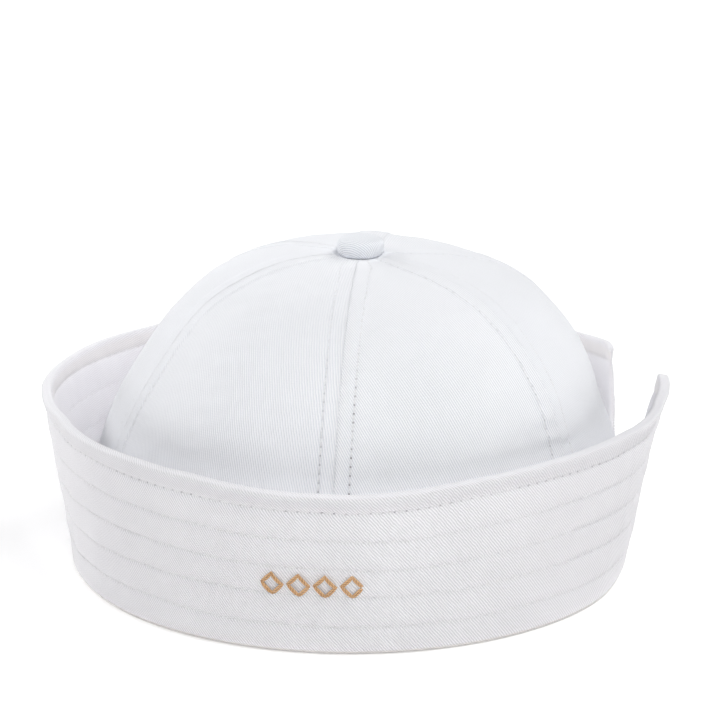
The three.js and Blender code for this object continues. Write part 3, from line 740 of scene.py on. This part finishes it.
    # stitches on both faces
    sets = {}
    for label, face, sign, phase in (("outer", outer, 1, 0.0), ("inner", inner, -1, 2.0)):
        normal = grid_normals(face) * -sign
        paths, norms = [], []
        for k in range(5):
            col = 5 + k * 11 + 4
            line, nrm = face[:, col], normal[:, col]
            start = phase if phase else 0.0
            x = start
            while x + BRIM_PITCH <= columns - 0.5:
                f = x + np.array([0.5, 1.2, 2.0, 2.8, 3.5])
                if x > 0.5:
                    pts = np.stack([np.interp(f, arc, line[:, a]) for a in range(3)], -1)
                    ns = np.stack([np.interp(f, arc, nrm[:, a]) for a in range(3)], -1)
                    rise = np.array([-0.18, -0.02, 0.03, -0.02, -0.18]) - (0.08 if sign < 0 else 0)
                    paths.append(pts + ns * rise[:, None])
                    norms.append(ns)
                x += BRIM_PITCH
        sets[label] = tubes(f"brim_stitching_{label}", paths, norms, [0.13, 0.19, 0.2, 0.19, 0.13], brim_thread)
    return ob, sets


brim, brim_stitching = build_brim()
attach(brim, "root")
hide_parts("brim")
for ob in brim_stitching.values():
    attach(ob, "root")


# ------------------------------------------------------------------ motif: four small diamonds of laid thread
def motif():
    paths, norms = [], []
    height = 26.5
    half_w, half_h = 3.55, 3.75
    turn = 0
    for centre in (255.1, 260.05, 265.0, 269.9):
        corners = {"l": (-half_w, 0.2), "t": (0.0, half_h), "r": (half_w, -0.15), "b": (0.1, -half_h)}
        for a, b in (("l", "t"), ("t", "r"), ("r", "b"), ("b", "l")):
            turn += 1
            wob = 0.22 * math.sin(turn * 2.4)
            (x0, y0), (x1, y1) = corners[a], corners[b]
            dx, dy = x1 - x0, y1 - y0
            ln = math.hypot(dx, dy)
            nx, ny = -dy / ln, dx / ln
            for strand, lift in ((-0.27, 0.26), (0.27, 0.30)):
                f = np.linspace(-0.05, 1.05, 9)
                bow = 0.10 * np.sin(np.pi * np.clip(f, 0, 1)) * (1 if strand > 0 else -1)
                x = x0 + dx * f + nx * (strand + bow) + wob * 0.3
                y = y0 + dy * f + ny * (strand + bow)
                s = height + y + wob * 0.4
                az = centre + np.degrees(x / 104.2)
                rise = lift + 0.16 * np.sin(np.pi * np.clip(f, 0, 1)) - 0.75 * (bell(f, 0.09) + bell(f - 1, 0.09))
                p = brim_point(az, s, -(rise + 0.32))
                q = brim_point(az, s, -(rise + 1.32))
                paths.append(p)
                norms.append(q - p)
    return tubes("motif_stitches", paths, norms, [0.18, 0.27, 0.32, 0.34, 0.345, 0.34, 0.32, 0.27, 0.18], tan_thread, sides=8)


motif_ob = motif()
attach(motif_ob, "root")


# ------------------------------------------------------------------ button
def build_button():
    around, up = 120, 44
    z0 = CROWN_TOP_Z + 0.05
    k = np.linspace(0, 1, up)
    # section: tucked under, round side, low dome
    profile = np.array([[5.8, 0.12], [7.0, 0.02], [7.7, 0.4], [8.08, 1.3], [8.22, 2.6], [8.18, 3.9], [7.9, 4.95],
                        [7.2, 5.7], [6.0, 6.2], [4.4, 6.48], [2.6, 6.62], [0.9, 6.65], [0.02, 6.65]])
    t = np.concatenate([[0], np.cumsum(np.linalg.norm(np.diff(profile, axis=0), axis=1))])
    tq = k * t[-1]
    dense = np.linspace(0, t[-1], 400)
    pr, pz = np.interp(dense, t, profile[:, 0]), np.interp(dense, t, profile[:, 1])
    ker = np.exp(-0.5 * (np.arange(-30, 31) / 9.0) ** 2)
    ker /= ker.sum()
    pr_s = np.convolve(np.pad(pr, 30, mode="reflect", reflect_type="odd"), ker, mode="valid")
    pz_s = np.convolve(np.pad(pz, 30, mode="reflect", reflect_type="odd"), ker, mode="valid")
    r, z = np.interp(tq, dense, pr_s), np.interp(tq, dense, pz_s)
    r[-1] = 0.0
    a = np.linspace(0, 2 * math.pi, around, endpoint=False)
    aa, rr = np.meshgrid(a, r)
    zz = np.broadcast_to(z[:, None], aa.shape)
    pleat = 0.16 * (0.6 * np.cos(11 * aa + 0.8) + 0.4 * np.cos(17 * aa + 2.0)) * np.clip(1 - zz / 3.2, 0, 1) ** 1.3
    rr = rr + pleat * (rr > 1)
    zz = zz + 0.05 * np.cos(3 * aa + 1) * (rr / 8) ** 2
    p = np.stack([rr * np.cos(aa) + CROWN_LEAN, rr * np.sin(aa), zz + z0], -1)
    idx = np.arange(up * around).reshape(up, around)
    wrap = np.concatenate([idx, idx[:, :1]], 1)
    faces = grid_faces(wrap)
    faces = faces[: (up - 2) * around]
    verts = p.reshape(-1, 3)[: (up - 1) * around]
    top = np.array([[CROWN_LEAN, 0, z0 + z[-1]]])
    bottom = np.array([[CROWN_LEAN, 0, z0 + z[0]]])
    verts = np.concatenate([verts, top, bottom])
    tip, low = len(verts) - 2, len(verts) - 1
    tris = np.concatenate([np.stack([wrap[up - 2, :-1], wrap[up - 2, 1:], np.full(around, tip)], -1),
                           np.stack([wrap[0, 1:], wrap[0, :-1], np.full(around, low)], -1)])
    # the cloth is drawn over the form, so its map is the flat disc it was cut from
    run = (t[-1] - tq)
    uv = np.stack([run[:, None] * np.cos(a)[None], run[:, None] * np.sin(a)[None]], -1)[: up - 1].reshape(-1, 2)
    uv = np.concatenate([uv, [[0, 0]], [[0, 0]]]) * MM + 0.02
    return mesh_object("cloth_button", verts, [faces, tris], {"cloth": uv}, button_mat)


button = build_button()
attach(button, "root")
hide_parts("top_button")


# ------------------------------------------------------------------ floor, light, camera
def floor():
    me = bpy.data.meshes.new("studio_floor")
    s = 6.0
    me.from_pydata([(-s, -s, 0), (s, -s, 0), (s, s, 0), (-s, s, 0)], [], [(0, 1, 2, 3)])
    ob = link(bpy.data.objects.new("studio_floor", me))
    m = Nodes("studio_floor")
    m.bsdf.inputs["Base Color"].default_value = (0.96, 0.96, 0.96, 1)
    m.bsdf.inputs["Emission Color"].default_value = (1.0, 1.0, 1.0, 1)
    place = m.new("ShaderNodeNewGeometry").outputs["Position"]
    length = m.new("ShaderNodeVectorMath", operation="LENGTH")
    m.join(place, length.inputs[0])
    m.join(m.range(length.outputs["Value"], 0.9, 1.9, 0.19, 1.0), m.bsdf.inputs["Emission Strength"])
    m.bsdf.inputs["Roughness"].default_value = 1.0
    m.bsdf.inputs["Specular IOR Level"].default_value = 0.0
    me.materials.append(m.mat)


floor()

scene = bpy.context.scene
scene.view_settings.view_transform = "Standard"
scene.view_settings.look = "None"
scene.view_settings.exposure = 0.0
scene.view_settings.gamma = 1.0

world = bpy.data.worlds.new("studio")
scene.world = world
world.use_nodes = True
bg = world.node_tree.nodes["Background"]           # a white room that is seen, and hardly lights the cap
bg.inputs["Color"].default_value = (1.0, 1.0, 1.0, 1)
rays = world.node_tree.nodes.new("ShaderNodeLightPath")
seen = world.node_tree.nodes.new("ShaderNodeMath")
seen.operation = "MAXIMUM"
seen.inputs[1].default_value = 0.01
world.node_tree.links.new(rays.outputs["Is Camera Ray"], seen.inputs[0])
world.node_tree.links.new(seen.outputs[0], bg.inputs["Strength"])


def area(name, at, look, size, power, colour=(1, 1, 1)):
    data = bpy.data.lights.new(name, "AREA")
    data.shape = "DISK"
    data.size = size
    data.energy = power
    data.color = colour
    ob = link(bpy.data.objects.new(name, data))
    ob.location = at
    ob.rotation_mode = "QUATERNION"
    ob.rotation_quaternion = (Vector(look) - Vector(at)).to_track_quat("-Z", "Y")
    return ob


# six soft boxes, two metres off, round a cap that stands in a white room
LIGHTS = [  # name, azimuth, elevation, watts
    ("key", -45, 58, 14.2), ("front", -90, 35, 16.1), ("right", 0, 18, 1.5),
    ("left", 180, 35, 9.1), ("back_left", 135, 18, 18.9), ("back_right", 45, 35, 16.6)]
for name, azimuth, elevation, watts in LIGHTS:
    a, e = math.radians(azimuth), math.radians(elevation)
    at = (2 * math.cos(e) * math.cos(a), 2 * math.cos(e) * math.sin(a), 2 * math.sin(e) + 0.03)
    area(name, at, (0, 0, 0.05), 0.9, watts).visible_camera = False


def camera():
    data = bpy.data.cameras.new("camera")
    data.sensor_width = 36.0
    data.lens = 3613.0 / 720.0 * 36.0
    data.clip_start, data.clip_end = 0.05, 50.0
    data.dof.use_dof = False
    ob = link(bpy.data.objects.new("camera", data))
    d, e, pitch, yaw = 1300.0, math.radians(20.62), math.radians(17.61), math.radians(0.19)
    at = np.array([-1.24, -d * math.cos(e), d * math.sin(e)]) * MM + CENTRE
    fwd = Vector((math.sin(yaw) * math.cos(pitch), math.cos(yaw) * math.cos(pitch), -math.sin(pitch)))
    right = Vector((math.cos(yaw), -math.sin(yaw), 0))
    up = right.cross(fwd)
    rot = Matrix((right, up, -fwd)).transposed()
    ob.matrix_world = Matrix.Translation(Vector(at)) @ rot.to_4x4()
    bpy.context.scene.camera = ob


camera()
